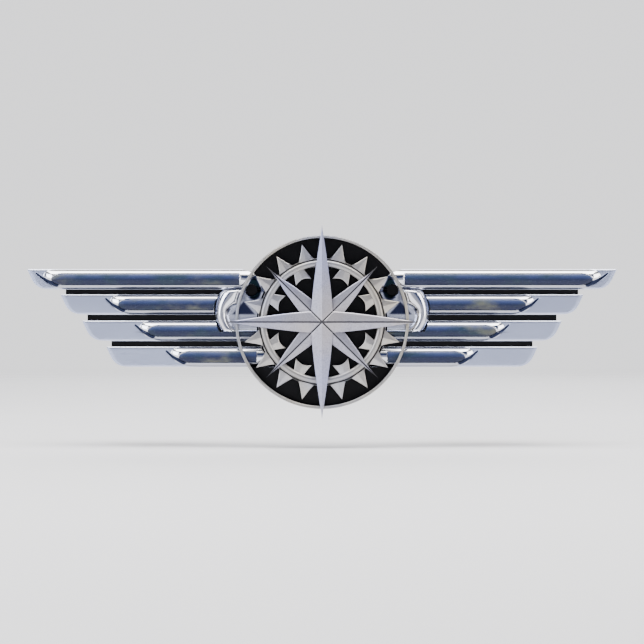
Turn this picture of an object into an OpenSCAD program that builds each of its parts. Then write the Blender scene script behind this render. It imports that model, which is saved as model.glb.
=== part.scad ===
// Pilot wings pin: a compass rose between two four-bar wings, built up in layers on
// a thin plate, with two pin posts and two butterfly clutches behind it.
// Millimetres. The face looks along -Y, the wings spread along X and +Z is up.
// The origin is the centre of the hub's flat back face.

/* [Wings] */
// Tip-to-tip width of the wings
span = 76; // [75:0.5:78]
// Height of one feather bar
feather_h = 2.6; // [2.4:0.05:2.7]
// How far a feather's rounded tip leans back from its top corner
tip_lean = 3; // [2:0.1:3.4]
// Width of the enamel strip let into a feather's rib
inlay_w = 1.5; // [1.2:0.05:1.6]
// Radius of the curved shoulder that the second and third feathers end on
shoulder_r = 4.6; // [4.4:0.05:4.7]

/* [Centre] */
// Radius of the thin outer ring, to the middle of its wire
ring_r = 10.96; // [10.8:0.02:11.2]
// Thickness of the outer ring's wire
ring_wire = 0.4; // [0.35:0.05:0.5]
// Radius that the four long star points reach
cardinal_r = 12.3; // [11.8:0.1:13]
// Radius that the four short star points reach
ordinal_r = 10; // [9.5:0.1:10.4]
// Outside radius of the toothed ring's band
band_r = 8.2; // [8:0.05:8.3]
// Radius of the toothed ring's outer points
tooth_r = 10.27; // [9.8:0.01:10.5]

/* [Layers] */
// Height of the plate's front above the hub's back
plate_h = 0.9; // [0.8:0.05:1]
// Thickness of a feather's flat blade
blade_t = 0.7; // [0.6:0.05:0.7]
// Height of the ribs above the blades
rib_rise = 0.7; // [0.5:0.05:0.7]

/* [Fastening] */
// Distance between the two posts
post_gap = 44; // [42:0.5:46]
// Radius of a post
post_r = 0.6; // [0.55:0.01:0.62]
// Reach of a post behind the hub's back face
post_reach = 7.6; // [7.2:0.1:7.6]
// Height of a seated clutch's face behind the hub, the room left for cloth
cloth_gap = 1.6; // [1.6:0.1:2]
// Radius of a clutch's base disc
clutch_r = 5.6; // [5.4:0.1:6]
// Travel of each clutch jaw
jaw_travel = 0.4; // [0.2:0.05:0.4]

/* [Hidden] */
$fn = 96;
feather_top = [6.8, 3.55, 0.15, -3.2];
tip_step = [0, 4.3, 7.1, 10.2];
rib_step = [1.9, 5.8, 6.8, 7.9];
inlay_step = [3.2, 7.5, 8.5, 9.4];
inlay_root = [11.4, 14.4, 14.4, 10];
root_r = 8.45;
hub_r = ring_r + 0.16;
wing_back = 0.2;
blade_top = plate_h + blade_t;
rib_w = feather_h / 2 - 0.04;
channel_floor = blade_top + 0.15;
ring_low = blade_top + rib_rise + 0.1;
star_low = ring_low + 0.6;
star_mid = star_low + 0.4;
shoulder_at = [9.2, 1.3];
shoulder_low = -1.25;
post_z = 0.9;
eye_at = [9.1, 4.15];
rivet_r = 0.38;
plate_jaw = 0.3;
jaw_low = [1.15, 1.5];
lug_x = 2.3;

function tip_x(i) = span / 2 - tip_step[i];
function feather_mid(i) = feather_top[i] - feather_h / 2;

// How far the tip has leaned back, from 0 at its top corner to 1 at its lower edge.
function lean(t) = 0.4 * t + 0.6 * (1 - sqrt(1 - pow(t, 6)));
function tip_edge(i) =
    [for (k = [0 : 10]) [tip_x(i) - tip_lean * lean(k / 10), feather_top[i] - feather_h * k / 10]];

// Places of the rivets that hold one wing: two in each feather and one in the shoulder.
function rivet_spots() = concat(
    [for (i = [0 : 3]) [15.2, feather_mid(i)]],
    [for (i = [0 : 3]) [tip_x(i) - 7, feather_mid(i)]],
    [[12.4, 1.8]]
);

// Half-width of a star point at radius r.
function cardinal_w(r) = 0.04 + 1.38 * pow(max(0, 1 - pow(r / cardinal_r, 1.5)), 1.1);
function ordinal_w(r) = 0.03 + 0.157 * (ordinal_r - r) * (1 - 0.45 * min(1, max(0, (r - 6) / 2.5)));

// Front pieces are drawn facing up: X across, Y up the badge, Z the height off its back.
module face() {
    rotate([90, 0, 0]) children();
}

// Clutch pieces are drawn standing on the cloth, then laid behind the left or right post.
module behind(s) {
    translate([s * post_gap / 2, cloth_gap, post_z]) rotate([-90, 0, 0]) children();
}

module layer(low, high) {
    translate([0, 0, low]) linear_extrude(high - low) children();
}

module on_side(s) {
    if (s > 0) children();
    else mirror([1, 0, 0]) children();
}

// Half-round section, w to each side of its middle and rise high.
module half_round(w, rise) {
    polygon([for (a = [0 : 15 : 180]) [w * cos(a), rise * sin(a)]]);
}

// A half-round bar along X at the height of feather i.
module round_bar(i, w, rise) {
    translate([7, feather_mid(i), blade_top]) rotate([90, 0, 90]) linear_extrude(span / 2) half_round(w, rise);
}

// A strip with a rounded outer end, from x0 to x1 at the height of feather i.
module strip(i, x0, x1, w) {
    translate([x0, feather_mid(i) - w]) square([x1 - w - x0, 2 * w]);
    translate([x1 - w, feather_mid(i)]) circle(r = w);
}

module shoulder_plan(grow) {
    intersection() {
        translate(shoulder_at) circle(r = shoulder_r + grow);
        translate([6, shoulder_low - grow]) square([9, feather_top[0] - feather_h - shoulder_low - 0.06 + 2 * grow]);
    }
}

// What feather i leaves free: the hub's ring, the shoulder and the eye beside it.
module root_cut(i) {
    circle(r = root_r);
    translate(eye_at) circle(r = 0.75);
    if (i > 0 && i < 3) shoulder_plan(0.06);
    if (i == 0) polygon([[6, 4.4], [8.4, 5.8], [10.15, 6.8], [10.15, 8], [6, 8]]);
}

module feather_plan(i) {
    difference() {
        polygon(concat([[6.5, feather_top[i]]], tip_edge(i), [[6.5, feather_top[i] - feather_h]]));
        root_cut(i);
    }
}

module inlay_plan(i, w) {
    strip(i, inlay_root[i], tip_x(i) - inlay_step[i] + w - inlay_w / 2, w);
    translate([inlay_root[i], feather_mid(i)]) circle(r = w);
}

module rivet_holes(low, high) {
    for (p = rivet_spots()) translate([p[0], p[1], low]) cylinder(r = rivet_r + 0.02, h = high - low);
}

module feather(i, s) {
    color("gainsboro") face() on_side(s) difference() {
        union() {
            layer(plate_h, blade_top) feather_plan(i);
            intersection() {
                layer(blade_top - 0.05, blade_top + rib_rise) difference() {
                    strip(i, 7, tip_x(i) - rib_step[i], rib_w);
                    root_cut(i);
                }
                union() {
                    round_bar(i, rib_w, rib_rise);
                    layer(blade_top - 0.05, blade_top) strip(i, 7, tip_x(i) - rib_step[i], rib_w);
                }
            }
        }
        layer(channel_floor, ring_low) inlay_plan(i, inlay_w / 2 + 0.02);
        rivet_holes(plate_h - 0.1, plate_h + 0.5);
    }
}

module inlay(i, s) {
    color("midnightblue") face() on_side(s) intersection() {
        layer(channel_floor, ring_low) inlay_plan(i, inlay_w / 2);
        round_bar(i, rib_w, rib_rise - 0.02);
    }
}

module shoulder(s) {
    color("silver") face() on_side(s) difference() {
        union() {
            layer(plate_h, blade_top) shoulder_plan(0);
            intersection() {
                layer(blade_top - 0.05, blade_top + rib_rise) shoulder_plan(0);
                translate([shoulder_at[0], shoulder_at[1], 0]) rotate_extrude() union() {
                    translate([shoulder_r - 0.9, blade_top]) half_round(0.88, rib_rise);
                    translate([shoulder_r - 1.78, blade_top - 0.05]) square([1.76, 0.06]);
                }
            }
        }
        layer(0, ring_low) circle(r = root_r);
        layer(0, ring_low) translate(eye_at) circle(r = 0.75);
        rivet_holes(plate_h - 0.1, plate_h + 0.5);
    }
}

// Plate under one wing, kept inside the feathers' outline. It closes each gap almost to the tip.
module carrier_plan() {
    inset = 0.3;
    back = tip_lean + 0.4;
    for (i = [0 : 3]) {
        low = feather_top[i] - feather_h + inset;
        translate([9, low]) square([tip_x(i) - back - 9, feather_h - 2 * inset]);
        if (i < 3) translate([9, feather_top[i + 1] - inset - 0.1])
            square([tip_x(i + 1) - 0.6 - 9, low - feather_top[i + 1] + inset + 0.2]);
    }
}

module backplate() {
    color("#15151a") face() difference() {
        union() {
            layer(0, plate_h) circle(r = hub_r);
            for (s = [-1, 1]) layer(wing_back, plate_h) on_side(s) carrier_plan();
        }
        for (s = [-1, 1]) on_side(s) {
            rivet_holes(-1, 2);
            translate([post_gap / 2, post_z, -1]) cylinder(r = post_r + 0.02, h = 1.7);
        }
        translate([0, 0, 0.4]) cylinder(r = 1.03, h = 2);
    }
}

// A thin ring over the wing roots, with a skirt down to the hub above and below them.
module outer_ring() {
    color("darkgray") face() {
        translate([0, 0, ring_low]) rotate_extrude() translate([ring_r, ring_wire / 2]) circle(r = ring_wire / 2);
        difference() {
            translate([0, 0, plate_h]) rotate_extrude()
                translate([ring_r - 0.16, 0]) square([0.32, ring_low + ring_wire / 2 - plate_h]);
            layer(0, ring_low + ring_wire / 2 + 1) translate([-20, feather_top[3] - feather_h - 0.1])
                square([40, feather_top[0] - feather_top[3] + feather_h + 0.2]);
        }
    }
}

module tooth() {
    polygon([
        [(band_r - 0.15) * cos(7.5), -band_r * sin(7.5)],
        [tooth_r, 0],
        [(band_r - 0.15) * cos(7.5), band_r * sin(7.5)]
    ]);
}

// A tile that flares inwards from the band to two points.
module flared_tile() {
    polygon([
        [7.3 * cos(5.6), -7.3 * sin(5.6)], [7.3 * cos(5.6), 7.3 * sin(5.6)],
        [5.8 * cos(11.3), 5.8 * sin(11.3)], [6.15, 0], [5.8 * cos(11.3), -5.8 * sin(11.3)]
    ]);
}

module toothed_ring() {
    color("lightgray") face() {
        rotate_extrude() polygon([
            [7.3, plate_h], [band_r, plate_h], [band_r, ring_low + 0.42], [band_r - 0.1, ring_low + 0.42],
            [band_r - 0.15, ring_low + 0.3], [band_r - 0.22, ring_low + 0.42], [band_r - 0.4, ring_low + 0.52],
            [band_r - 0.7, ring_low + 0.52], [band_r - 1, ring_low + 0.4], [band_r - 1.1, ring_low + 0.2],
            [band_r - 1.1, ring_low], [7.3, ring_low]
        ]);
        layer(ring_low, ring_low + 0.4) for (quarter = [0 : 90 : 270]) {
            for (a = [14.5, 34.7, 55.3, 75.5]) rotate(quarter + a) tooth();
            for (a = [24.7, 65.3]) rotate(quarter + a) flared_tile();
        }
    }
}

// A ridged point along X. Its outline is w[k] to each side at radii[k], and its two
// slopes meet in a ridge that falls from rise at the centre to edge at the tip.
module star_point(radii, w, low, edge, rise) {
    reach = radii[len(radii) - 1];
    slope = (rise - edge) / w[0];
    intersection() {
        layer(low, low + rise) polygon(concat(
            [for (k = [0 : len(radii) - 1]) [radii[k], w[k]]],
            [for (k = [len(radii) - 1 : -1 : 0]) [radii[k], -w[k]]]
        ));
        translate([0, 0, low + rise]) rotate([0, atan((rise - edge) / reach), 0]) rotate([90, 0, 90])
            linear_extrude(reach + 1) polygon([[0, 0], [4, -4 * slope], [4, -3], [-4, -3], [-4, -4 * slope]]);
    }
}

module ordinal_star() {
    radii = [0, 6, 7, 8, 8.5, ordinal_r];
    color("gainsboro") face() difference() {
        for (a = [45 : 90 : 315])
            rotate(a) star_point(radii, [for (r = radii) ordinal_w(r)], star_low, 0.1, 0.4);
        cylinder(r = 0.52, h = 10);
    }
}

module cardinal_star() {
    radii = [for (k = [0 : 8]) cardinal_r * k / 8];
    color("lavender") face() difference() {
        for (a = [0 : 90 : 270])
            rotate(a) star_point(radii, [for (r = radii) cardinal_w(r)], star_mid, 0.1, 0.52);
        translate([0, 0, star_mid - 1]) cylinder(r = 0.52, h = 1.25);
    }
}

module star_stud() {
    color("gray") face() {
        translate([0, 0, 0.4]) cylinder(r = 1, h = star_low - 0.4);
        translate([0, 0, star_low - 0.1]) cylinder(r = 0.5, h = 0.7);
    }
}

module wing_rivets(s) {
    color("goldenrod") face() on_side(s) for (p = rivet_spots()) translate([p[0], p[1], 0]) {
        translate([0, 0, 0.05]) cylinder(r = 0.65, h = wing_back - 0.05);
        translate([0, 0, 0.05]) cylinder(r = rivet_r, h = plate_h + 0.4);
    }
}

// A grooved post with a soldered collar; it is turned about its own axis.
module post(s) {
    color("goldenrod") translate([s * post_gap / 2, 0, post_z]) rotate([-90, 0, 0]) rotate_extrude() polygon([
        [0, -0.7], [post_r, -0.7], [post_r, -wing_back], [1.25, -wing_back], [1.25, 0.1], [1.1, 0.25],
        [post_r, 0.25], [post_r, post_reach - 2.1], [post_r - 0.12, post_reach - 1.95],
        [post_r - 0.12, post_reach - 1.65], [post_r, post_reach - 1.5], [post_r, post_reach - 1.2],
        [0.12, post_reach], [0, post_reach]
    ]);
}

module clutch_base(s) {
    color("gold") behind(s) rotate_extrude() polygon([
        [0.75, 0], [clutch_r - 0.15, 0], [clutch_r, 0.15], [clutch_r, 0.7], [clutch_r - 0.15, 0.8],
        [clutch_r - 0.35, 0.7], [clutch_r - 0.5, 0.5], [2.4, 0.5], [2.4, 0.95], [0.75, 0.95]
    ]);
}

// A domed cap with a window on each side for the jaws.
module clutch_cap(s) {
    color("gold") behind(s) difference() {
        rotate_extrude() polygon(concat(
            [[3, 0.5], [4.2, 0.5], [4.2, 0.8], [3.3, 0.8]],
            [for (a = [0 : 10 : 90]) [3.3 * cos(a), 4.9 + 1.5 * sin(a)]],
            [for (a = [90 : -10 : 0]) [3 * cos(a), 4.8 + 1.3 * sin(a)]]
        ));
        translate([-5, -1.95, jaw_low[0] - 0.05]) cube([10, 3.9, jaw_low[1] - jaw_low[0] + plate_jaw + 0.12]);
    }
}

// One jaw with its ear on +X. Its slot holds the post at rest and clears it when squeezed.
module jaw_shape(low) {
    slot_r = post_r + 0.02;
    difference() {
        union() {
            translate([-lug_x, -1.8, low]) cube([lug_x + 4.1, 3.6, plate_jaw]);
            translate([lug_x, -0.35, low]) cube([0.25, 0.7, 2.5 - low]);
            intersection() {
                translate([0, 3.3, 0]) rotate([90, 0, 0]) linear_extrude(6.6) polygon([
                    [3.9, low], [4.7, low], [5.6, low + 0.5], [6.35, low + 1.4], [7, low + 2.6], [7.35, low + 3.6],
                    [7.05, low + 3.7], [6.65, low + 2.7], [6.05, low + 1.6], [5.4, low + 0.8], [4.6, low + 0.3],
                    [3.9, low + 0.3]
                ]);
                translate([0, 0, 1.4]) rotate([0, 90, 0]) cylinder(r = 3.9, h = 9);
            }
        }
        for (x = [0, jaw_travel]) translate([x, 0, low - 1]) cylinder(r = slot_r, h = 2);
        translate([0, -slot_r, low - 1]) cube([jaw_travel, 2 * slot_r, 2]);
        translate([-lug_x - 1, -0.5, low - 1]) cube([2, 1, 2]);
    }
}

module jaw_a(s) {
    color("gold") behind(s) jaw_shape(jaw_low[0]);
}

module jaw_b(s) {
    color("gold") behind(s) mirror([1, 0, 0]) jaw_shape(jaw_low[1]);
}

module clutch_spring(s) {
    color("lightsteelblue") behind(s) translate([0, 0, 2.2])
        rotate(120) rotate_extrude(angle = 300) translate([2.05, 0]) circle(r = 0.2, $fn = 24);
}

backplate();
outer_ring();
toothed_ring();
ordinal_star();
cardinal_star();
star_stud();
feather(0, -1);  // left_feather_1
feather(1, -1);  // left_feather_2
feather(2, -1);  // left_feather_3
feather(3, -1);  // left_feather_4
feather(0, 1);  // right_feather_1
feather(1, 1);  // right_feather_2
feather(2, 1);  // right_feather_3
feather(3, 1);  // right_feather_4
inlay(0, -1);  // left_inlay_1
inlay(1, -1);  // left_inlay_2
inlay(2, -1);  // left_inlay_3
inlay(3, -1);  // left_inlay_4
inlay(0, 1);  // right_inlay_1
inlay(1, 1);  // right_inlay_2
inlay(2, 1);  // right_inlay_3
inlay(3, 1);  // right_inlay_4
shoulder(-1);  // left_shoulder
shoulder(1);  // right_shoulder
wing_rivets(-1);  // left_wing_rivets
wing_rivets(1);  // right_wing_rivets
post(-1);  // left_post
post(1);  // right_post
clutch_base(-1);  // left_clutch_base
clutch_base(1);  // right_clutch_base
clutch_cap(-1);  // left_clutch_cap
clutch_cap(1);  // right_clutch_cap
clutch_spring(-1);  // left_clutch_spring
clutch_spring(1);  // right_clutch_spring
jaw_a(-1);  // left_jaw_a
jaw_b(-1);  // left_jaw_b
jaw_a(1);  // right_jaw_a
jaw_b(1);  // right_jaw_b
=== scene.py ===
# Pilot wings pin: chrome feather bars with blue enamel strips spread from a compass rose, all on a
# black plate with two posts and butterfly clutches behind it. Metres, in the frame of the CAD model:
# the face looks along -Y, the wings run along X and Z is up.
import bpy
import bmesh
import math
import numpy as np
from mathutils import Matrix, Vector


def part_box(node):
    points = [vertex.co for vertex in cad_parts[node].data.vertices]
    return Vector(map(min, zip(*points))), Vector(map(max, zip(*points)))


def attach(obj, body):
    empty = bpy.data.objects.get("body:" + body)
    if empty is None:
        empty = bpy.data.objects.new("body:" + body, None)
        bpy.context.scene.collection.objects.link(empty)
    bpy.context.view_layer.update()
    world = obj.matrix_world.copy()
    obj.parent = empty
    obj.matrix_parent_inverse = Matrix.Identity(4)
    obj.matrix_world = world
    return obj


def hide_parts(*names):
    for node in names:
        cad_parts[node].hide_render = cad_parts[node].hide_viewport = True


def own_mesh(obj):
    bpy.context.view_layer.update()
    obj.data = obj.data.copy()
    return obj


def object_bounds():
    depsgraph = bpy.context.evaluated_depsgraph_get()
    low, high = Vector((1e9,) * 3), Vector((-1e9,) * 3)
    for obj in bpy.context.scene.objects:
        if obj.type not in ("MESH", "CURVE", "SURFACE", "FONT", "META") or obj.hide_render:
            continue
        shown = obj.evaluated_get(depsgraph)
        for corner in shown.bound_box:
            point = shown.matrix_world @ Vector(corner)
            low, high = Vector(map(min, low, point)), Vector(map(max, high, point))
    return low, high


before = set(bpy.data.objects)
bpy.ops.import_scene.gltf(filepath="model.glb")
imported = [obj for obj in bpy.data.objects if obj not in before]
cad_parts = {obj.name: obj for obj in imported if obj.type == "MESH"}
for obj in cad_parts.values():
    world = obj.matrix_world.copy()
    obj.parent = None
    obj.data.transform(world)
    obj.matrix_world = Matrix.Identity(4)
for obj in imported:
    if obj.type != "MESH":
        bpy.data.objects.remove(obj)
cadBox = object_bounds()
print("frame loaded:", len(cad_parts), "nodes")

mm = 0.001


def boxOf(node):  # lowest and highest corner of a CAD node, in millimetres
    low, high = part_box(node)
    return np.array(low) / mm, np.array(high) / mm


# Mesh making. Sizes are worked out in millimetres and written to the mesh in metres.

def stations(*stops):  # stations(0, 4, 2, 10) runs from 0 to 2 in 4 steps, then carries on to the next stop
    runs = [np.linspace(stops[k], stops[k + 2], stops[k + 1], endpoint=False)
            for k in range(0, len(stops) - 2, 2)]
    return np.concatenate(runs + [stops[-1:]])


def smooth(x, low, high):  # 0 below low, 1 above high, and 3t^2 - 2t^3 between them
    t = np.clip((x - low) / (high - low), 0, 1)
    return t * t * (3 - 2 * t)


def gridFaces(rows, columns, turn=False):
    # Quads between neighbouring rows and columns; turn joins the last column to the first.
    i, j = np.meshgrid(np.arange(rows - 1), np.arange(columns if turn else columns - 1), indexing="ij")
    k = (j + 1) % columns
    here, following = i * columns, (i + 1) * columns
    return np.stack([here + j, here + k, following + k, following + j], -1).reshape(-1, 4)


def slab(front, back):  # two grids with one border, closed by a wall: point = front(u, v) or back(u, v)
    rows, columns = front.shape[:2]
    count = rows * columns
    ids = np.arange(count).reshape(rows, columns)
    rim = np.concatenate([ids[0, :], ids[1:, -1], ids[-1, -2::-1], ids[-2:0:-1, 0]])
    following = np.roll(rim, -1)
    walls = np.stack([rim, rim + count, following + count, following], 1)
    faces = gridFaces(rows, columns)
    points = np.concatenate([front.reshape(-1, 3), back.reshape(-1, 3)])
    return points, np.concatenate([faces, faces[:, ::-1] + count, walls]).tolist()


def loft(sections):  # closed sections carried along a path: point = sections[i, j], with flat ends
    rows, columns = sections.shape[:2]
    faces = gridFaces(rows, columns, turn=True).tolist()
    faces.append(list(range(columns))[::-1])
    faces.append(list(range((rows - 1) * columns, rows * columns)))
    return sections.reshape(-1, 3), faces


def turned(profile, steps=96, start=0.0, end=360.0):
    # (r, h) turned about the Y axis: (r cos a, h, r sin a).
    full = end - start >= 360
    a = np.radians(np.linspace(start, end, steps, endpoint=not full))[:, None]
    r, h = np.asarray(profile, float).T[:, None, :]
    sections = np.stack([r * np.cos(a), h + 0 * a, r * np.sin(a)], -1)
    if not full:
        return loft(sections)
    points, faces = loft(np.concatenate([sections, sections[:1]]))
    return points, faces[:-2]


def filleted(corners, radius, steps=4):
    # Each corner P becomes (1-t)^2 A + 2t(1-t) P + t^2 B, with A and B on its edges, radius away from it.
    p = np.asarray(corners, float)
    t = np.linspace(0, 1, steps + 1)[None, :, None]
    before, after = np.roll(p, 1, 0) - p, np.roll(p, -1, 0) - p
    lengths = [np.linalg.norm(e, axis=1, keepdims=True) for e in (before, after)]
    a, b = [p + e / n * np.minimum(radius, 0.45 * n) for e, n in zip((before, after), lengths)]
    a, p, b = a[:, None], p[:, None], b[:, None]
    return ((1 - t) ** 2 * a + 2 * t * (1 - t) * p + t * t * b).reshape(-1, 2)


def shell(outer, inner, keep):
    # Two grids, columns closed round, and a wall wherever a kept cell meets a dropped one.
    # The last row is a pole.
    rows, columns = outer.shape[:2]
    ids = np.arange(rows * columns).reshape(rows, columns)
    far = len(ids.ravel())
    nextIds = np.roll(ids, -1, axis=1)
    quads = np.stack([ids[:-1], nextIds[:-1], nextIds[1:], ids[1:]], -1)[keep]
    foot = np.concatenate([np.zeros((1, columns), bool), keep, keep[-1:]])
    across = foot[:-1] != foot[1:]
    along = np.roll(keep, 1, axis=1) != keep
    walls = [np.stack([ids, nextIds, nextIds + far, ids + far], -1)[across],
             np.stack([ids[:-1], ids[1:], ids[1:] + far, ids[:-1] + far], -1)[along]]
    points = np.concatenate([outer.reshape(-1, 3), inner.reshape(-1, 3)])
    return points, np.concatenate([quads, quads[:, ::-1] + far, *walls]).tolist()


def gather(*shapes):  # several (points, faces) as one
    points, faces, count = [], [], 0
    for p, f in shapes:
        points.append(p)
        faces += [[k + count for k in face] for face in f]
        count += len(p)
    return np.concatenate(points), faces


def moved(shape, offset):
    return shape[0] + np.asarray(offset, float), shape[1]


def spun(shape, degrees):  # turned in the badge's own plane, about Y
    a = math.radians(degrees)
    p = shape[0]
    return np.stack([p[:, 0] * math.cos(a) - p[:, 2] * math.sin(a), p[:, 1],
                     p[:, 0] * math.sin(a) + p[:, 2] * math.cos(a)], 1), shape[1]


def piece(name, shape, material, body, stands, marks=(), mirrored=False, sharp=38):
    points, faces = shape
    points = np.array(points, float)
    if mirrored:
        points[:, 0] *= -1
    mesh = bpy.data.meshes.new(name)
    mesh.from_pydata((points * mm).tolist(), [], faces)
    for mark, values in dict(marks).items():
        layer = mesh.attributes.new(mark, "FLOAT", "POINT")
        layer.data.foreach_set("value", np.asarray(values, np.float32))
    work = bmesh.new()
    work.from_mesh(mesh)
    bmesh.ops.remove_doubles(work, verts=work.verts, dist=2e-7)
    bmesh.ops.dissolve_degenerate(work, edges=work.edges, dist=1e-7)
    bmesh.ops.recalc_face_normals(work, faces=work.faces)
    work.to_mesh(mesh)
    work.free()
    mesh.shade_smooth()
    mesh.set_sharp_from_angle(angle=math.radians(sharp))
    made = bpy.data.objects.new(name, mesh)
    bpy.context.scene.collection.objects.link(made)
    mesh.materials.append(material)
    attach(made, body)
    if stands:
        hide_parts(*stands)
    return made


# Shader making.

class Wire:  # one socket of a node tree, with arithmetic that adds Math nodes
    def __init__(self, finish, socket):
        self.finish, self.socket = finish, socket

    def __add__(self, other):
        return self.finish.sum("ADD", self, other)

    def __sub__(self, other):
        return self.finish.sum("SUBTRACT", self, other)

    def __rsub__(self, other):
        return self.finish.sum("SUBTRACT", other, self)

    def __mul__(self, other):
        return self.finish.sum("MULTIPLY", self, other)

    def __pow__(self, other):
        return self.finish.sum("POWER", self, other)

    __radd__, __rmul__ = __add__, __mul__


class Finish:  # a material under construction
    def __init__(self, name):
        self.material = bpy.data.materials.new(name)
        self.material.use_nodes = True
        self.tree = self.material.node_tree
        self.shader = self.tree.nodes["Principled BSDF"]

    def node(self, kind, settings=(), inputs=(), output=0):
        made = self.tree.nodes.new(kind)
        for key, value in dict(settings).items():
            if key == "stops":
                ramp = made.color_ramp
                while len(ramp.elements) < len(value):
                    ramp.elements.new(0.5)
                for element, (place, colour) in zip(ramp.elements, value):
                    element.position, element.color = place, (*colour, 1)
            else:
                setattr(made, key, value)
        for key, value in dict(inputs).items():
            if isinstance(value, Wire):
                self.tree.links.new(value.socket, made.inputs[key])
            else:
                made.inputs[key].default_value = value
        return Wire(self, made.outputs[output])

    def sum(self, operation, a, b):
        return self.node("ShaderNodeMath", {"operation": operation}, {0: a, 1: b})

    def mark(self, name):  # a value written on the mesh's points
        return self.node("ShaderNodeAttribute", {"attribute_name": name}, output="Fac")

    def place(self, scale=(1, 1, 1)):  # object coordinates, stretched
        at = self.node("ShaderNodeTexCoord", output="Object")
        return self.node("ShaderNodeMapping", {}, {"Vector": at, "Scale": scale})

    def noise(self, scale, detail=3.0, stretch=(1, 1, 1), roughness=0.5):
        return self.node("ShaderNodeTexNoise", {}, {"Vector": self.place(stretch), "Scale": scale,
                                                    "Detail": detail, "Roughness": roughness})

    def spread(self, value, low, high, toLow=0.0, toHigh=1.0):
        return self.node("ShaderNodeMapRange", {"clamp": True}, {
            "Value": value, "From Min": low, "From Max": high, "To Min": toLow, "To Max": toHigh})

    def mix(self, factor, a, b):  # colour a where factor is 0, b where it is 1
        made = self.tree.nodes.new("ShaderNodeMix")
        made.data_type = "RGBA"
        for k, value in ((0, factor), (6, a), (7, b)):
            if isinstance(value, Wire):
                self.tree.links.new(value.socket, made.inputs[k])
            else:
                made.inputs[k].default_value = (*value, 1) if isinstance(value, tuple) else value
        return Wire(self, made.outputs[2])

    def bump(self, height, distance, strength=1.0):
        return self.node("ShaderNodeBump", {}, {
            "Height": height, "Distance": distance, "Strength": strength})

    def give(self, **sockets):
        for key, value in sockets.items():
            name = {"colour": "Base Color", "roughness": "Roughness", "metallic": "Metallic",
                    "normal": "Normal", "coat": "Coat Weight", "coatRoughness": "Coat Roughness",
                    "ior": "IOR"}[key]
            if isinstance(value, Wire):
                self.tree.links.new(value.socket, self.shader.inputs[name])
            else:
                self.shader.inputs[name].default_value = (*value, 1) if isinstance(value, tuple) else value
        return self.material


# Finishes.

finishes = {
    "chrome": (0.78, 0.79, 0.84), "chromeRough": 0.08,
    "blade": (0.45, 0.50, 0.68), "bladeRough": 0.38,
    "star": (0.40, 0.395, 0.47), "starRough": 0.42,
    "tooth": (0.52, 0.50, 0.48), "toothRough": 0.34,
    "ring": (0.32, 0.31, 0.30), "ringRough": 0.38,
    # painted shade and painted dark reflections for the chrome: shade, deepShade and the darker lower-side
    # tone
    "shade": (0.022, 0.027, 0.066), "deepShade": (0.004, 0.009, 0.013), "paintedLowerShade": (0.34, 0.35, 0.41),
    "oxide": (0.008, 0.008, 0.012), "bladeGrain": (0.36, 0.38, 0.48),
    "enamelDeep": (0.003, 0.007, 0.034), "enamelUpperSheen": (0.045, 0.065, 0.16),
    "enamelReflected": (0.19, 0.185, 0.12), "enamelTeal": (0.010, 0.026, 0.036),
    "enamelFleck": (0.2, 0.24, 0.4),
    "plate": (0.002, 0.002, 0.003), "plateRubbed": (0.007, 0.007, 0.009),
    "brass": (0.74, 0.57, 0.29), "brassTarnish": (0.46, 0.32, 0.15), "steel": (0.45, 0.46, 0.48),
}


def chromeFinish():  # polished on the ribs and satin on the flat blades, told apart by the mark "polish"
    f = Finish("polishedChrome")
    polish = f.mark("polish")
    grain = f.noise(9000, 2.0)
    haze = f.noise(420, 4.0, (0.35, 1, 1))
    colour = f.mix(polish, finishes["blade"], finishes["chrome"])
    colour = f.mix(f.spread(grain, 0.3, 0.7, 0.0, 0.16) * (1 - polish), colour, finishes["bladeGrain"])
    # painted shade: the lower side of each rib and the foot of each shoulder, mark "under", take a darker
    # lavender tone
    colour = f.mix(f.mark("under"), colour, finishes["paintedLowerShade"])
    # painted shade: the hooks, the eye's teardrop and the dish patches, mark "line", turn dark navy and
    # near black
    line = f.mark("line")
    colour = f.mix(f.spread(line, 0.0, 0.8), colour, finishes["shade"])
    colour = f.mix(f.spread(line, 0.82, 1.0), colour, finishes["deepShade"])
    smoother = finishes["bladeRough"] - finishes["chromeRough"]
    rough = f.spread(haze, 0.3, 0.7, -0.02, 0.03) + finishes["bladeRough"] - polish * smoother
    height = grain * (1 - polish) + f.noise(700, 2.0, (0.25, 1, 1)) * 0.6
    return f.give(colour=colour, metallic=1.0, roughness=rough, normal=f.bump(height, 0.000006, 0.5))


def satinFinish(name, colour, rough, dark):
    # Blasted silver with oxide in the engraved lines, marked "line".
    f = Finish(name)
    grain = f.noise(5200, 3.0, roughness=0.6)
    patch = f.noise(500, 3.0)
    worn = tuple(c * dark for c in colour)
    base = f.mix(f.spread(grain, 0.4, 0.64, 0.0, 0.7), colour, worn)
    base = f.mix(f.spread(patch, 0.35, 0.7, 0.0, 0.25), base, tuple(min(1, c * 1.2) for c in colour))
    cast = f.noise(130, 2.0)  # broad cool and warm casts across the rose
    warm, cool = [tuple(c * share for c, share in zip(colour, shares))
                  for shares in ((1.1, 1.02, 0.82), (0.78, 0.88, 1.22))]
    base = f.mix(f.spread(cast, 0.52, 0.66, 0.0, 0.5), base, warm)
    base = f.mix(f.spread(cast, 0.48, 0.34, 0.0, 0.5), base, cool)
    base = f.mix(f.mark("line"), base, finishes["oxide"])
    rough = f.spread(grain, 0.3, 0.7, rough - 0.06, rough + 0.08)
    return f.give(colour=base, metallic=1.0 - 0.7 * f.mark("line"), roughness=rough,
                  normal=f.bump(grain, 0.000010, 0.5))


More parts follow.
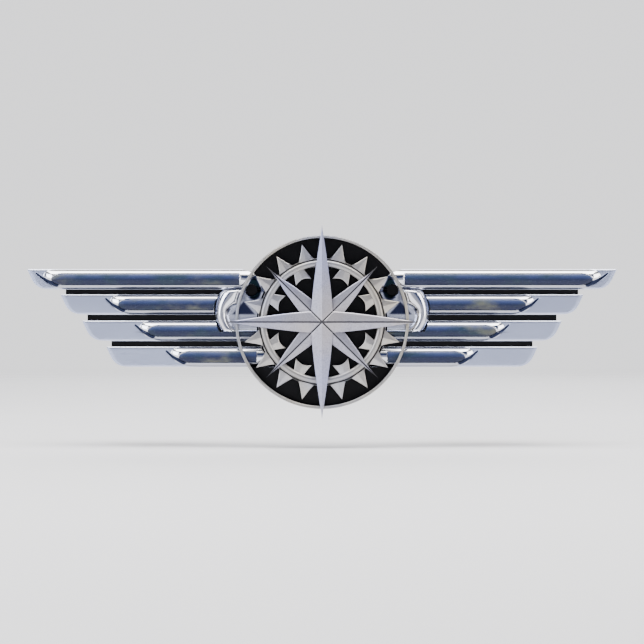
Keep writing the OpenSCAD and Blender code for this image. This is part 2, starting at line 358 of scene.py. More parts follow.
def enamelFinish():  # deep blue, paler along its upper edge (mark "rise") as a painted reflection, with cloudy streaks lengthwise and painted cream reflection patches
    f = Finish("blueEnamel")
    rise = f.mark("rise")
    reflectionPatch = f.noise(150, 3.0, (1.0, 1, 1.6))
    streak = f.noise(420, 4.0, (0.55, 1, 1.3), 0.62)
    base = f.mix(f.spread(rise, 0.45, 0.95), finishes["enamelDeep"], finishes["enamelUpperSheen"])
    base = f.mix(f.spread(streak, 0.46, 0.66, 0.0, 0.75), base, finishes["enamelTeal"])
    # painted reflection: cream patches where the two noises meet
    paintedReflection = f.spread(reflectionPatch, 0.54, 0.70) * f.spread(streak, 0.38, 0.6) * 0.6
    base = f.mix(paintedReflection, base, finishes["enamelReflected"])
    fleck = f.noise(14000, 1.0)
    base = f.mix(f.spread(fleck, 0.66, 0.74, 0.0, 0.25), base, finishes["enamelFleck"])
    return f.give(colour=base, metallic=0.0, roughness=0.4, coat=0.12, coatRoughness=0.08, ior=1.35)


def plateFinish():  # black nickel with a fine blasted grain and faint rubbed patches
    f = Finish("blackNickel")
    grain = f.noise(7000, 3.0)
    rub = f.noise(260, 4.0)
    base = f.mix(f.spread(rub, 0.5, 0.75, 0.0, 0.5), finishes["plate"], finishes["plateRubbed"])
    return f.give(colour=base, metallic=0.75, roughness=f.spread(rub, 0.3, 0.7, 0.34, 0.5),
                  normal=f.bump(grain, 0.000012, 0.6))


def brassFinish():  # lacquered brass with turning marks and a little tarnish
    f = Finish("polishedBrass")
    rough = 0.22
    tarnish = f.noise(330, 5.0)
    marks = f.noise(1600, 2.0, (1, 6, 1))
    base = f.mix(f.spread(tarnish, 0.48, 0.72, 0.0, 0.5), finishes["brass"], finishes["brassTarnish"])
    return f.give(colour=base, metallic=1.0,
                  roughness=f.spread(tarnish, 0.3, 0.7, rough - 0.05, rough + 0.12),
                  normal=f.bump(marks, 0.000006, 0.5))


def steelFinish():
    f = Finish("springSteel")
    drawn = f.noise(2600, 2.0)
    return f.give(colour=finishes["steel"], metallic=1.0,
                  roughness=f.spread(drawn, 0.3, 0.7, 0.22, 0.36),
                  normal=f.bump(drawn, 0.000005, 0.5))


chrome = chromeFinish()
starSilver = satinFinish("starSilver", finishes["star"], finishes["starRough"], 0.62)
toothSilver = satinFinish("toothSilver", finishes["tooth"], finishes["toothRough"], 0.8)
ringSilver = satinFinish("ringSilver", finishes["ring"], finishes["ringRough"], 0.7)
enamel = enamelFinish()
blackNickel = plateFinish()
brass = brassFinish()
steel = steelFinish()
print("finishes made")


# The wings.

wing = {
    "tipLean": 3.0,       # how far the tip leans back from its top corner
    "rootRadius": 8.45,   # the feathers stop at this circle round the hub
    "edgeWidth": 0.30, "edgeDrop": 0.17,
    "tipWidth": 0.42, "tipDrop": 0.13,
    "ribEnd": 2.1,        # length of a rib's rounded end
    "endSlant": 0.75,     # how much further a rib's end reaches at its top
    "hookReach": 1.75,    # reach of the dark hook, a shallow groove with painted shade, past the enamel
    "channelDepth": 0.14,
    "bladeThickness": 0.7,
    "shoulderX": 9.2, "shoulderZ": 1.3, "shoulderGap": 0.08,
    "eyeX": 9.1, "eyeZ": 4.15, "eyeRadius": 0.75,
}


def faceMarks(**marks):  # the values for a slab's front, and zeros for its back
    return {name: np.concatenate([mark.ravel(), 0 * mark.ravel()]) for name, mark in marks.items()}


def leaning(t):  # share of the lean reached at depth t: 0.4 t + 0.6 (1 - sqrt(1 - t^6))
    return 0.4 * t + 0.6 * (1 - np.sqrt(np.maximum(0, 1 - t ** 6)))


def eyeSpan(x):  # half-height of the round eye beside the shoulder at x
    return np.sqrt(np.maximum(0, wing["eyeRadius"] ** 2 - (x - wing["eyeX"]) ** 2))


def eyeShade(x, z):  # painted shade: a dark upright teardrop round the eye
    return smooth(1.2 - np.hypot((x - 8.75) / (0.85 - 0.12 * (z - 4.2)), (z - 4.3) / 1.45), 0, 0.35)


def shoulderEdge(z, grow=0.0):  # x of the shoulder's arc at height z
    reach = boxOf("right_shoulder")[1][0] - wing["shoulderX"] + grow
    return wing["shoulderX"] + np.sqrt(np.maximum(0, reach ** 2 - (z - wing["shoulderZ"]) ** 2))


def rootEdge(number, z):  # x where feather number starts at height z
    x = np.sqrt(wing["rootRadius"] ** 2 - z ** 2)
    if number == 1:
        return np.maximum(x, np.interp(z, [4.2, 4.9, 5.8, 6.8], [6.5, 6.9, 8.4, 10.15]))
    if number == 2:
        return shoulderEdge(z, wing["shoulderGap"])
    if number == 3:
        low = boxOf("right_shoulder")[0][2] - wing["shoulderGap"]
        return np.where(z > low, shoulderEdge(z, wing["shoulderGap"]), x)
    return x


def ribHeight(number, x, z):
    # Rise (1 - q^2.2), where q^2 = (across / half width)^2 + (how far into the slanted end)^2.
    low, high = boxOf(f"right_feather_{number}")
    middle, half = (low[2] + high[2]) / 2, (high[2] - low[2]) / 2 - 0.04
    top, blade = -low[1], -high[1] + wing["bladeThickness"]
    end = boxOf(f"right_inlay_{number}")[1][0] + 0.95 + wing["endSlant"] * (z - middle) / half
    across = np.abs(z - middle) / half
    ending = np.clip(1 - (end - x) / wing["ribEnd"], 0, 2)
    q = np.sqrt(across ** 2 + ending ** 2)
    return (top - blade) * np.clip(1 - q ** 2.2, 0, 1), q


def hookLine(number, x, z):  # 1 near a bowed line from the strip's lower corner up to the rib's tip, where a shallow groove gets painted shade
    high = boxOf(f"right_feather_{number}")[1]
    end = boxOf(f"right_inlay_{number}")[1][0]
    start = (end - 0.6, high[2] - 1.95)
    run = (wing["hookReach"] + 0.5 + (0.35 if number == 1 else 0), 1.4)
    t = np.clip(((x - start[0]) * run[0] + (z - start[1]) * run[1]) / (run[0] ** 2 + run[1] ** 2), 0, 1)
    away = np.hypot(x - start[0] - t * run[0], z - start[1] - t * run[1] + 0.2 * np.sin(math.pi * t))
    return smooth(0.34 - 0.22 * t - away, -0.06, 0.06)


def inlayHalf(number, x):
    # Half width of the enamel at x: w sqrt(1 - e^2), with e rising from 0 to 1 over its outer end.
    low, high = boxOf(f"right_inlay_{number}")
    return (high[2] - low[2]) / 2 * np.sqrt(1 - np.clip(1 - (high[0] - x) / 1.5, 0, 1) ** 2)


def inlayStart(number, z):  # the strip runs in to the shoulder, or to the hub on the lowest bar
    low = boxOf(f"right_inlay_{number}")[0]
    if number in (2, 3):
        return rootEdge(number, z) + 0.06
    return low[0] - (0.8 if number == 4 else 0) + 0 * z


def featherShape(number):
    # x runs from rootEdge(z) to tip(z) and z from low to high.
    # front = blade with rounded edges + rib - channel.
    low, high = boxOf(f"right_feather_{number}")
    tall = high[2] - low[2]
    middle = (low[2] + high[2]) / 2
    half = tall / 2
    across = stations(-half, 8, -half + 0.3, 6, -0.86, 7, -0.66, 12, 0.66, 7, 0.86, 6, half - 0.3, 8, half)
    along = np.concatenate([np.linspace(0, 0.9, 300, endpoint=False), np.linspace(0.9, 1, 60)])
    z, u = np.meshgrid(middle + across, along, indexing="ij")
    lean = leaning(np.clip((high[2] - z) / tall, 0, 1))
    tip = high[0] - wing["tipLean"] * lean
    root = rootEdge(number, z)
    x = root + (tip - root) * u
    if number == 1:
        floor = np.maximum(low[2], np.where(eyeSpan(x) > 0, wing["eyeZ"] + eyeSpan(x), low[2]))
        z = floor + (z - low[2]) / tall * (high[2] - floor)
    edge = np.minimum(high[2] - z, z - low[2])
    slope = np.clip((tip - x) * 0.8, 0, None)
    blade = -high[1] + wing["bladeThickness"]
    dip = np.maximum(wing["edgeDrop"] * (1 - np.clip(edge / wing["edgeWidth"], 0, 1)) ** 2,
                     wing["tipDrop"] * (1 - np.clip(slope / wing["tipWidth"], 0, 1)) ** 1.3)
    rib, q = ribHeight(number, x, z)
    wide = inlayHalf(number, x)
    fromMiddle = z - middle
    inside = smooth(wide - np.abs(fromMiddle), -0.05, 0.06) * (wide > 0.02)
    inside = inside * (x > inlayStart(number, z) - 0.04)
    height = blade + np.maximum(rib - dip * 0.6, -dip) - wing["channelDepth"] * inside
    hookGrooveAndShade = hookLine(number, x, z)
    height = height - 0.08 * hookGrooveAndShade
    # painted shade: the rib's lower side is marked "under" for a darker tone
    under = smooth(-0.5 - fromMiddle, 0, 0.3) * smooth(1.02 - q, 0, 0.05) * 0.8
    polish = np.maximum(smooth(1.03 - q, 0, 0.05), smooth(0.16 - edge, 0, 0.05) * 0.4)
    front = np.stack([x, -height, z], -1)
    back = np.stack([x, high[1] + 0 * x, z], -1)
    # painted shade, mark "line": the hook, and on the top bar the teardrop round the eye
    line = np.maximum(hookGrooveAndShade * 0.9, eyeShade(x, z) * (number == 1))
    return slab(front, back), faceMarks(polish=polish, line=line, under=under)


def inlayShape(number):  # z = middle + v w(x); front = a hair under the rib, plunging at |v| = 1
    low, high = boxOf(f"right_inlay_{number}")
    middle = (low[2] + high[2]) / 2
    e = np.sin(np.linspace(-math.pi / 2, math.pi / 2, 160)) * 0.5 + 0.5
    v, e = np.meshgrid(np.linspace(-1, 1, 25), e, indexing="ij")
    start = inlayStart(number, middle + v * (high[2] - low[2]) / 2)
    x = start + (high[0] - start) * e
    z = middle + v * np.maximum(inlayHalf(number, x), 0.01)
    blade = -boxOf(f"right_feather_{number}")[1][1] + wing["bladeThickness"]
    height = blade + ribHeight(number, x, z)[0] - 0.035 - 0.3 * np.abs(v) ** 14
    front = np.stack([x, -height, z], -1)
    back = np.stack([x, -blade - 0.02 + 0 * x, z], -1)
    # rise runs from 0 at the lower edge to 1 at the upper; the finish paints a paler reflection towards the
    # top
    rise = (v + 1) / 2
    return slab(front, back), {"rise": np.concatenate([rise.ravel(), rise.ravel()])}


def shoulderShape():
    # A dish inside a rolled lip: lip = rise (1 - s^2.2), with s = distance from its crest / half width.
    low, high = boxOf("right_shoulder")
    rows = stations(0, 8, 0.06, 56, 0.94, 8, 1.0)
    z, u = np.meshgrid(low[2] + (high[2] - low[2]) * rows, stations(0, 60, 0.7, 60, 1.0), indexing="ij")
    inner = np.sqrt(wing["rootRadius"] ** 2 - z ** 2)
    x = inner + (shoulderEdge(z) - inner) * u
    roof = np.where(eyeSpan(x) > 0, np.minimum(high[2], wing["eyeZ"] - eyeSpan(x)), high[2])
    share = (z - low[2]) / (high[2] - low[2])
    z = low[2] + share * (roof - low[2])
    reach = high[0] - wing["shoulderX"]
    away = np.hypot(x - wing["shoulderX"], z - wing["shoulderZ"])
    turn = np.degrees(np.arctan2(z - wing["shoulderZ"], x - wing["shoulderX"]))
    halfLip = 0.86 + 0.55 * np.exp(-((turn - 36) / 26) ** 2)
    crest = reach - halfLip * 0.96
    lip = np.clip(1 - np.abs((away - crest) / halfLip) ** 2.2, 0, 1)
    fade = smooth(x - inner, 0.3, 2.2)
    blade = -high[1] + wing["bladeThickness"]
    edge = np.minimum(roof - z, z - low[2])
    drop = 0.22 * (1 - np.clip(edge / 0.35, 0, 1)) ** 2
    height = blade - 0.14 + (-low[1] - blade + 0.1) * lip * fade - drop
    height = np.minimum(height, -low[1])
    back = np.stack([x, high[1] + 0 * x, z], -1)
    # painted shade and painted dark reflections in the dish, mark "line": a triangle, a column, a spot and
    # the teardrop by the eye
    triangle = smooth(0.88 * (2.75 - z) - np.abs(x - 10.1), -0.15, 0.25) * smooth(z, 0.85, 1.1)
    column = 0.45 * smooth(1 - np.abs(x - 10.4) / 0.9, 0, 0.5) * smooth(z, 2.3, 3)
    spot = 0.8 * np.exp(-((x - 12.1) / 0.35) ** 2 - ((z - 1.6) / 0.22) ** 2)
    paintedRecessShade = np.maximum(np.maximum(triangle * 0.8, column) * (1 - lip * fade) ** 0.5,
                        np.maximum(spot, eyeShade(x, z)))
    front = np.stack([x, -height, z], -1)
    # painted shade: the shoulder gets darker towards the bottom, mark "under"
    under = 0.3 * smooth(1.2 - z, 0, 1.6)
    polish = 0.45 + 0.55 * smooth(lip * fade, 0.1, 0.5)
    return slab(front, back), faceMarks(polish=polish, line=paintedRecessShade, under=under)


for side in ("left", "right"):
    mirrored = side == "left"
    for number in (1, 2, 3, 4):
        shape, marks = featherShape(number)
        piece(f"{side}FeatherBar{number}", shape, chrome, "badge",
              [f"{side}_feather_{number}"], marks, mirrored)
        shape, marks = inlayShape(number)
        piece(f"{side}EnamelStrip{number}", shape, enamel, "badge",
              [f"{side}_inlay_{number}"], marks, mirrored)
    shape, marks = shoulderShape()
    piece(f"{side}RootShoulder", shape, chrome, "badge",
          [f"{side}_shoulder"], marks, mirrored)
print("wings made")


# The compass rose.

rose = {
    "cardinalHalf": 1.42, "cardinalSlope": 0.30, "ordinalSlope": 0.19, "lineHalf": 0.12,
    "bandInner": 7.1, "bandOuter": 8.2, "grooveRadius": 8.03,
    "toothAngles": (14.5, 34.7, 55.3, 75.5), "tileAngles": (24.7, 65.3), "toothHalfAngle": 7.6,
    "starRim": 0.1,       # thickness of a star's points
    "wireRadius": 0.2,
}


def cardinalWidth(r, reach):  # w0 (1 - (r / reach)^1.5)^1.1, stopping a hair past the 45 degree valley
    r = np.maximum(r, 0)
    w = rose["cardinalHalf"] * np.maximum(0, 1 - (r / reach) ** 1.5) ** 1.1 + 0.015
    return np.minimum(w, 1.015 * r + 0.02)


def ordinalWidth(r, reach):  # 0.157 (reach - r), drawn in to a needle outside the toothed ring
    return 0.015 + 0.157 * (reach - r) * (1 - 0.5 * smooth(r, 5.8, 8.8))


def starPoint(reach, width, low, rim, rise, slope, line, valley):
    # Point (r, s) with |s| <= w(r); height = ridge(r) - slope |s| - engraved lines, and the ridge falls
    # from rise to rim. Each point starts a little past the centre, so that it passes through its
    # neighbours instead of meeting them.
    start = -0.03 if valley else -0.2
    across = np.linspace(-1, 1, 61)
    r, v = np.meshgrid(start + np.linspace(0, 1, 110) ** 0.9 * (reach - start),
                       np.sign(across) * np.abs(across) ** 1.25, indexing="ij")
    s = v * width(r)
    ridge = low + rim + (rise - rim) * (1 - np.maximum(r, 0) / reach)
    groove = np.zeros_like(r)
    if line:
        groove = 1 - smooth(np.abs(s), rose["lineHalf"] * 0.5, rose["lineHalf"] * 1.25)
    if valley:
        fromValley = (r - np.abs(s)) / math.sqrt(2)
        groove = np.maximum(groove, 1 - smooth(fromValley, rose["lineHalf"] * 0.5, rose["lineHalf"] * 1.2))
    edge = np.clip((width(r) - np.abs(s)) / 0.12, 0, 1)
    bevel = 0.05 * (1 - edge) ** 2 * (0 if valley and not line else 1)
    height = ridge - slope * np.abs(s) - 0.05 * groove - bevel
    front = np.stack([r, -height, s], -1)
    back = np.stack([r, -low + 0 * r, s], -1)
    points, faces = slab(front, back)
    return (points, [face[::-1] for face in faces]), np.concatenate([groove.ravel(), 0 * groove.ravel()])


def starShape(node, angles, lined):  # one point at each angle, engraved along its ridge where listed
    low, high = boxOf(node)
    reach = high[0] if 0 in angles else math.hypot(high[0], high[2])
    base, rise = -high[1], high[1] - low[1]
    shapes, lines = [], []
    cardinal = node == "cardinal_star"
    width = cardinalWidth if cardinal else ordinalWidth
    slope = rose["cardinalSlope" if cardinal else "ordinalSlope"]
    for angle in angles:
        shape, line = starPoint(reach, lambda r: width(r, reach), base, rose["starRim"], rise,
                                slope, angle in lined, cardinal)
        shapes.append(spun(shape, angle))
        lines.append(line)
    return gather(*shapes), {"line": np.concatenate(lines)}


def toothShape(low, high, reach):
    # Half width w0 ((1 - u)(1 - 0.44 u (1 - u)) + 0.012) along u, pillowed to its edges with a soft ridge.
    u, v = np.meshgrid(np.linspace(0, 1, 34), np.linspace(-1, 1, 25), indexing="ij")
    foot = rose["bandOuter"] - 0.12
    half = foot * math.tan(math.radians(rose["toothHalfAngle"]))
    w = half * ((1 - u) * (1 - 0.22 * u * (1 - u) * 2) + 0.012)
    r = foot + (reach - foot) * u
    edge = np.clip((1 - np.abs(v)) * w / 0.11, 0, 1)
    height = high - 0.10 * (1 - edge) ** 2 - 0.10 * np.abs(v) * w / half - 0.06 * u
    front = np.stack([r, -height, v * w], -1)
    back = np.stack([r, -low + 0 * r, v * w], -1)
    return slab(front, back), u.size


def tileShape(low, high):  # angle v (5.6 + 5.7 u^1.25), radius from the band in to 6 - 0.3 |v|^1.5
    u, v = np.meshgrid(np.linspace(0, 1, 26), np.linspace(-1, 1, 29), indexing="ij")
    a = np.radians(v * (5.6 + 5.7 * u ** 1.25))
    inner = 6.0 - 0.3 * np.abs(v) ** 1.5
    foot = rose["bandInner"] + 0.12
    r = foot + (inner - foot) * u
    edge = np.clip(np.minimum((1 - np.abs(v)) * 0.9, (1 - u) * 1.2) / 0.12, 0, 1)
    height = high - 0.10 * (1 - edge) ** 2 - 0.07 * np.abs(v)
    front = np.stack([r * np.cos(a), -height, r * np.sin(a)], -1)
    back = np.stack([r * np.cos(a), -low + 0 * r, r * np.sin(a)], -1)
    return slab(front, back), u.size


def toothedRingShape():  # a crowned band with a groove near its rim, and four quarters of teeth and tiles
    low, high = boxOf("toothed_ring")
    foot, top = -high[1], -low[1]
    base = top - 0.55
    inner, outer, groove = rose["bandInner"], rose["bandOuter"], rose["grooveRadius"]
    a = np.linspace(math.pi, 0, 19)
    middle, half = (inner + groove - 0.1) / 2, (groove - 0.1 - inner) / 2
    crown = np.stack([middle + half * np.cos(a), -(base + 0.2 + (top - base - 0.2) * np.sin(a) ** 0.8)], 1)
    channel = [[groove - 0.06, -(base + 0.12)], [groove + 0.02, -(base + 0.12)]]
    wall = [[outer - 0.06, -(base + 0.36)], [outer, -(base + 0.28)], [outer, -foot],
            [inner + 0.2, -foot], [inner + 0.2, -base], [inner, -base]]
    profile = np.concatenate([crown, channel, wall])
    band = turned(profile, 240)
    dark = np.tile(((np.abs(profile[:, 0] - groove + 0.02) < 0.09) & (profile[:, 1] > -(base + 0.21))
                    & (profile[:, 1] < -base - 0.05)) * 0.6 + 0.32, 241)
    shapes, lines = [band], [dark]
    for quarter in (0, 90, 180, 270):
        for angle in rose["toothAngles"]:
            shape, count = toothShape(base, base + 0.4, toothTip())
            shapes.append(spun(shape, quarter + angle))
            lines.append(np.zeros(2 * count))
        for angle in rose["tileAngles"]:
            shape, count = tileShape(base, base + 0.4)
            shapes.append(spun(shape, quarter + angle))
            lines.append(np.zeros(2 * count))
    return gather(*shapes), {"line": np.concatenate(lines)}


def toothTip():  # the tooth nearest the X axis sets the ring's box, so its tip is box / cos of its angle
    return boxOf("toothed_ring")[1][0] / math.cos(math.radians(rose["toothAngles"][0]))


def outerRingShape():  # a wire ring, with a wall down to the plate above and below the wings
    low, high = boxOf("outer_ring")
    wire = rose["wireRadius"]
    middle = high[0] - wire
    a = np.linspace(0, 2 * math.pi, 24, endpoint=False)
    ring = turned(np.stack([middle + wire * np.cos(a), low[1] + wire + wire * np.sin(a)], 1), 256)
    wall = filleted([[middle - 0.15, low[1] + wire], [middle + 0.15, low[1] + wire],
                     [middle + 0.15, high[1]], [middle - 0.15, high[1]]], 0.05, 3)
    above = math.degrees(math.asin((boxOf("right_feather_1")[1][2] + 0.12) / middle))
    below = math.degrees(math.asin(-(boxOf("right_feather_4")[0][2] - 0.12) / middle))
    return ring, gather(turned(wall, 90, above, 180 - above), turned(wall, 90, 180 + below, 360 - below))


shape, marks = starShape("cardinal_star", (0, 90, 180, 270), (0, 180))
piece("cardinalStar", shape, starSilver, "badge", ["cardinal_star"], marks, sharp=22)
shape, marks = starShape("ordinal_star", (45, 135, 225, 315), (45, 135, 225, 315))
piece("ordinalStar", shape, starSilver, "badge", ["ordinal_star"], marks, sharp=22)
shape, marks = toothedRingShape()
piece("toothedRing", shape, toothSilver, "badge", ["toothed_ring"], marks)
ring, wall = outerRingShape()
piece("outerRing", ring, ringSilver, "badge", ["outer_ring"])
piece("outerRingWall", wall, blackNickel, "badge", ["outer_ring"])
print("compass rose made")


# Posts, rivets and clutches behind the badge.

clutch = {
    "standOff": 1.6,      # from the badge's back to the clutch's face
    "millings": 72, "millDepth": 0.05,
    "windowAngle": 39, "window": (1.10, 1.87),
    "domeRadius": 3.3, "domeBase": 4.9, "domeRise": 1.5, "wall": 0.3,
    "grips": 5, "gripWidth": 4.0,
    "squeeze": 0.8,       # share of its width that the spring ring keeps when the jaws are pinched
    "gripFirst": 1.1, "gripStep": 0.52,
    "rivetRadius": 0.65, "rivetRise": 0.145, "shankRadius": 0.36,
    "rivetX": 15.2,       # the inner rivet of each feather
    "rivetFromTip": 7,    # and the outer one
    "shoulderRivet": (12.4, 1.8),
}


def postPlace(side):  # the post's axis
    low, high = boxOf(f"{side}_post")
    return [(low[0] + high[0]) / 2, 0, (low[2] + high[2]) / 2]


def postShape(side):  # a pad soldered to the plate, a shank with a groove, and a drawn point
    end = boxOf(f"{side}_post")[1][1]
    pad = [[0.001, -0.7], [0.59, -0.7], [0.59, -0.2], [1.25, -0.2],
           [1.25, 0.06], [1.05, 0.24], [0.72, 0.27]]
    shank = [[0.59, 0.45], [0.59, end - 2.1], [0.48, end - 1.95], [0.48, end - 1.65], [0.59, end - 1.5]]
    point = [[0.59, end - 1.2], [0.14, end - 0.03], [0.001, end - 0.01]]
    return moved(turned(filleted(pad + shank + point, 0.06, 3), 64), postPlace(side))


def rivetShape():  # domed heads over the plate's back: height = rise (1 - (r / radius)^2)^0.5
    place = []
    for number in (1, 2, 3, 4):
        low, high = boxOf(f"right_feather_{number}")
        middle = (low[2] + high[2]) / 2
        place += [[clutch["rivetX"], middle], [high[0] - clutch["rivetFromTip"], middle]]
    place.append(clutch["shoulderRivet"])
    radius, thin = clutch["rivetRadius"], clutch["shankRadius"]
    r = np.linspace(radius, 0.001, 14)
    foot = -0.2
    dome = np.stack([r, foot + clutch["rivetRise"] * np.sqrt(np.maximum(0, 1 - (r / radius) ** 2))], 1)
    shank = [[0.001, -1.2], [thin, -1.2], [thin, foot - 0.004], [radius, foot - 0.004]]
    return gather(*[moved(turned(np.concatenate([shank, dome]), 40), [x, 0, z]) for x, z in place])


def clutchBaseShape(side):  # a dished disc with a rolled, milled rim and a raised collar
    place = postPlace(side)
    reach = boxOf(f"{side}_clutch_base")[1][0] - place[0]
    dish = [[0.75, 0.02], [2.2, 0.02], [2.35, 0.1], [2.75, 0.1], [2.9, 0.02]]
    rim = [[reach - 0.15, 0.02], [reach, 0.15], [reach, 0.66], [reach - 0.15, 0.79],
           [reach - 0.35, 0.7], [reach - 0.55, 0.5], [reach - 0.8, 0.44]]
    collar = [[4.5, 0.44], [4.4, 0.49], [2.4, 0.49], [2.4, 0.94], [0.75, 0.94]]
    points, faces = turned(filleted(dish + rim + collar, 0.07, 3), 4 * clutch["millings"])
    r = np.hypot(points[:, 0], points[:, 2])
    a = np.arctan2(points[:, 2], points[:, 0])
    cut = clutch["millDepth"] * (0.5 - 0.5 * np.cos(clutch["millings"] * a)) * smooth(r, reach - 0.2, reach)
    points[:, [0, 2]] *= (1 - cut / np.maximum(r, 0.1))[:, None]
    return moved((points, faces), [place[0], clutch["standOff"], place[2]])


def clutchCapShape(side):
    # A flanged cup with a domed end, r = R cos t and h = base + rise sin t, and a window each side.
    place = postPlace(side)
    radius, base, rise = (clutch[k] for k in ("domeRadius", "domeBase", "domeRise"))
    bore = radius - clutch["wall"]
    opening = clutch["window"]
    t = np.linspace(0, math.pi / 2, 22)[1:]
    h = np.linspace(opening[1], base, 30)
    ring = 0.05 * np.exp(-((h - 4.3) / 0.14) ** 2)  # a shallow groove turned in the wall
    flange = [[4.18, 0.52], [4.2, 0.60], [4.2, 0.72], [4.13, 0.79], [3.6, 0.80], [3.42, 0.84],
              [radius, 0.96], [radius, opening[0]]]
    under = [[4.1, 0.51], [3.9, 0.51], [3.7, 0.51], [3.5, 0.51], [3.3, 0.51], [3.1, 0.53],
             [bore, 0.7], [bore, opening[0]]]
    outer = np.concatenate([flange, np.stack([radius - ring, h], 1),
                            np.stack([radius * np.cos(t), base + (rise - 0.01) * np.sin(t)], 1)])
    inner = np.concatenate([under, np.stack([bore + 0 * ring, h], 1),
                            np.stack([bore * np.cos(t), base - 0.1 + (rise - 0.2) * np.sin(t)], 1)])
    columns = 120
    a = np.radians(np.arange(columns) * 3.0)[None]
    grids = [np.stack([p[:, :1] * np.cos(a), p[:, 1:] + 0 * a, p[:, :1] * np.sin(a)], -1)
             for p in (outer, inner)]
    cell = np.degrees(a[0]) + 1.5
    fromAxis = np.abs((cell + 90) % 180 - 90)
    keep = np.ones((len(outer) - 1, columns), bool)
    keep[len(flange) - 1] = fromAxis > clutch["windowAngle"]
    return moved(shell(*grids, keep), [place[0], clutch["standOff"], place[2]])


def springShape(side):
    # An open ring of wire, (R cos a, h, -R sin a) with a from 120 to 420 degrees, rounded at both ends.
    place = postPlace(side)
    low, high = boxOf(f"{side}_clutch_spring")
    wire = (high[1] - low[1]) / 2
    ring = (high[0] - low[0]) / 2 - wire
    a, b = np.meshgrid(np.radians(np.linspace(120, 420, 121)),
                       np.linspace(0, 2 * math.pi, 16, endpoint=False), indexing="ij")
    fromEnd = np.minimum(a - a[0, 0], a[-1, 0] - a) * ring / wire
    r = wire * np.sqrt(1 - np.clip(1 - fromEnd, 0, 0.98) ** 2)
    out = ring + r * np.cos(b)
    return loft(np.stack([place[0] + out * np.cos(a), (low[1] + high[1]) / 2 + r * np.sin(b),
                          place[2] - out * np.sin(a)], -1))


def gripShape(side, jaw):
    # Round bars across the ear, half sunk in its outer curve, with radius 0.15 sqrt(1 - v^8).
    place = postPlace(side)
    sign = 1 if jaw == "a" else -1
    floor = boxOf(f"{side}_jaw_{jaw}")[0][1]
    path = np.array([[4.7, 0], [5.6, 0.5], [6.35, 1.4], [7.0, 2.6], [7.35, 3.6]])
    bars = []
    for k in range(clutch["grips"]):
        at = clutch["gripFirst"] + clutch["gripStep"] * k
        x, h = (np.interp(at, range(5), path[:, c]) for c in (0, 1))
        v, a = np.meshgrid(np.linspace(-1, 1, 41), np.linspace(0, 2 * math.pi, 16, endpoint=False),
                           indexing="ij")
        reach = math.sqrt(max(0.2, 3.9 ** 2 - (h + floor - clutch["standOff"] - 1.4) ** 2))
        half = min(clutch["gripWidth"] / 2, reach - 0.6)
        r = 0.15 * np.sqrt(np.maximum(1 - np.abs(v) ** 8, 0.0004))
        bars.append(loft(np.stack([place[0] + sign * (x - 0.08 + r * np.cos(a)),
                                   floor + h + 0.06 + r * np.sin(a), place[2] + v * half], -1)))
    return gather(*bars)


# Nodes carried over from the CAD.

def dress(node, material, rounding=0.0):  # a finish, and an edge rounded by a weld and a bevel
    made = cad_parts[node]
    made.data.materials.clear()
    made.data.materials.append(material)
    if rounding:
        weld = made.modifiers.new("weld", "WELD")
        weld.merge_threshold = 0.000002
        bevel = made.modifiers.new("rounded", "BEVEL")
        bevel.width, bevel.segments = rounding * mm, 2
        bevel.limit_method, bevel.angle_limit = "ANGLE", math.radians(40)


dress("backplate", blackNickel, 0.08)
dress("star_stud", ringSilver)
for side in ("left", "right"):
    piece(f"{side}Post", postShape(side), brass, "badge", [f"{side}_post"])
    piece(f"{side}Rivets", rivetShape(), brass, "badge",
          [f"{side}_wing_rivets"], mirrored=side == "left")
    piece(f"{side}ClutchBase", clutchBaseShape(side), brass, f"{side}_clutch",
          [f"{side}_clutch_base"])
    piece(f"{side}ClutchCap", clutchCapShape(side), brass, f"{side}_clutch",
          [f"{side}_clutch_cap"])
    for jaw in ("a", "b"):
        dress(f"{side}_jaw_{jaw}", brass, 0.06)
        piece(f"{side}JawGrip{jaw.upper()}", gripShape(side, jaw), brass, f"{side}_jaw_{jaw}", [])
    ring = piece(f"{side}SpringRing", springShape(side), steel, f"{side}_clutch",
                 [f"{side}_clutch_spring"])
    place = postPlace(side)
    place[0] * mm
    place[2] * mm
    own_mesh(ring)
print("posts, rivets and clutches made")


# Floor, light and camera.

studio = {
    "floorDrop": 0.004, "floorSize": 0.7, "floorFade": (0.10, 0.45),
    "floorColour": (0.78, 0.78, 0.80), "floorSpeckle": (0.7, 0.7, 0.72),
    "lens": 110, "frameWidth": 0.0835,
    "backdrop": (0.80, 0.80, 0.82), "backdropLight": 1.9,
    "roomStops": [  # from straight down to straight up
        (0.0, (0.30, 0.30, 0.33)), (0.46, (0.46, 0.47, 0.54)), (0.54, (0.52, 0.53, 0.62)),
        (0.60, (0.36, 0.38, 0.50)), (0.66, (0.05, 0.07, 0.15)), (0.82, (0.03, 0.045, 0.11)),
        (0.88, (0.80, 0.79, 0.76)), (1.0, (1.0, 0.99, 0.96)),
    ],
}


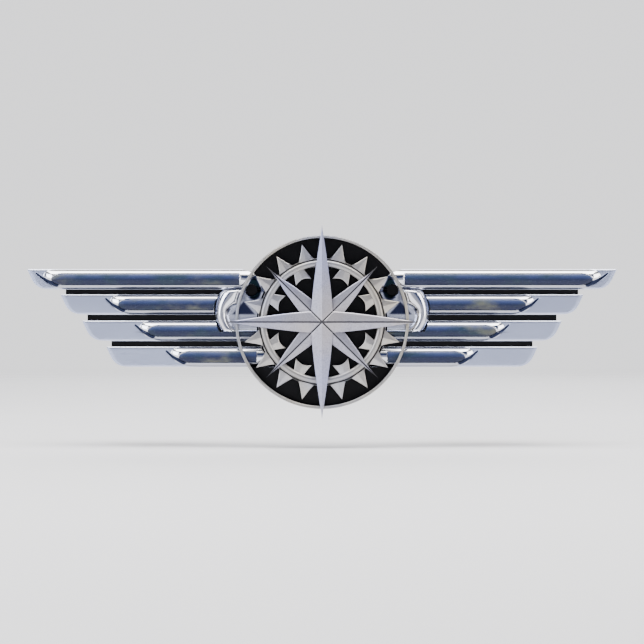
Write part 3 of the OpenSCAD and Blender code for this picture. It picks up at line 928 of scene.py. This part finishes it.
def plainFloor():  # a pale square that fades out into the backdrop
    f = Finish("paleFloor")
    grain = f.noise(60, 3.0)
    colour = f.mix(f.spread(grain, 0.3, 0.7, 0.0, 0.06), studio["floorColour"], studio["floorSpeckle"])
    f.give(colour=colour, roughness=0.8)
    at = f.node("ShaderNodeTexCoord", output="Object")
    reach = f.node("ShaderNodeVectorMath", {"operation": "LENGTH"}, {0: at}, output="Value")
    f.tree.links.new(f.spread(reach, *studio["floorFade"], 1.0, 0.0).socket, f.shader.inputs["Alpha"])
    f.shader.inputs["Specular IOR Level"].default_value = 0.0
    mesh = bpy.data.meshes.new("floor")
    size, z = studio["floorSize"], cadBox[0].z - studio["floorDrop"]
    corners = [(-size, -size, z), (size, -size, z), (size, size, z), (-size, size, z)]
    mesh.from_pydata(corners, [], [(0, 1, 2, 3)])
    mesh.materials.append(f.material)
    floor = bpy.data.objects.new("floor", mesh)
    bpy.context.scene.collection.objects.link(floor)


def softBox(name, at, width, height, power, colour=(1, 1, 1)):  # a soft light aimed at the hub
    data = bpy.data.lights.new(name, "AREA")
    data.shape, data.size, data.size_y = "RECTANGLE", width, height
    data.energy, data.color = power, colour
    light = bpy.data.objects.new(name, data)
    light.location = at
    light.rotation_euler = (Vector() - Vector(at)).to_track_quat("-Z", "Y").to_euler()
    bpy.context.scene.collection.objects.link(light)


def studioWorld():  # a pale room, brightest overhead, with a dark band above the horizon for the chrome
    world = bpy.data.worlds.new("studio")
    bpy.context.scene.world = world
    world.use_nodes = True
    tree = world.node_tree
    tree.nodes.clear()
    at = tree.nodes.new("ShaderNodeTexCoord")
    split = tree.nodes.new("ShaderNodeSeparateXYZ")
    tree.links.new(at.outputs["Generated"], split.inputs[0])
    spread = tree.nodes.new("ShaderNodeMapRange")
    spread.inputs["From Min"].default_value = -1
    tree.links.new(split.outputs["Z"], spread.inputs["Value"])
    ramp = tree.nodes.new("ShaderNodeValToRGB")
    stops = studio["roomStops"]
    while len(ramp.color_ramp.elements) < len(stops):
        ramp.color_ramp.elements.new(0.5)
    for element, (place, colour) in zip(ramp.color_ramp.elements, stops):
        element.position, element.color = place, (*colour, 1)
    tree.links.new(spread.outputs[0], ramp.inputs[0])
    room = tree.nodes.new("ShaderNodeBackground")
    room.inputs["Strength"].default_value = 1.0
    tree.links.new(ramp.outputs[0], room.inputs["Color"])
    seen = tree.nodes.new("ShaderNodeBackground")
    seen.inputs["Color"].default_value = (*studio["backdrop"], 1)
    seen.inputs["Strength"].default_value = studio["backdropLight"]
    path = tree.nodes.new("ShaderNodeLightPath")
    pick = tree.nodes.new("ShaderNodeMixShader")
    tree.links.new(path.outputs["Is Camera Ray"], pick.inputs[0])
    tree.links.new(room.outputs[0], pick.inputs[1])
    tree.links.new(seen.outputs[0], pick.inputs[2])
    out = tree.nodes.new("ShaderNodeOutputWorld")
    tree.links.new(pick.outputs[0], out.inputs["Surface"])


def frontCamera():  # level with the hub and square to the face, far enough back to hold the span
    data = bpy.data.cameras.new("front")
    data.lens, data.sensor_width = studio["lens"], 36
    data.clip_start, data.clip_end = 0.005, 20
    camera = bpy.data.objects.new("front", data)
    away = studio["frameWidth"] / 2 / (data.sensor_width / 2 / data.lens)
    camera.location = (0, -away, 0)
    camera.rotation_euler = (math.pi / 2, 0, 0)
    bpy.context.scene.collection.objects.link(camera)
    bpy.context.scene.camera = camera


plainFloor()
studioWorld()
softBox("overheadBox", (0.0, -0.10, 0.34), 0.5, 0.22, 3.2, (1.0, 0.985, 0.96))
softBox("leftBox", (-0.34, -0.26, 0.12), 0.20, 0.30, 1.6, (0.92, 0.95, 1.0))
softBox("rightBox", (0.36, -0.20, 0.10), 0.16, 0.30, 1.1, (1.0, 0.97, 0.93))
softBox("rearBox", (0.05, 0.34, 0.22), 0.4, 0.2, 1.6)
frontCamera()
print("studio made")
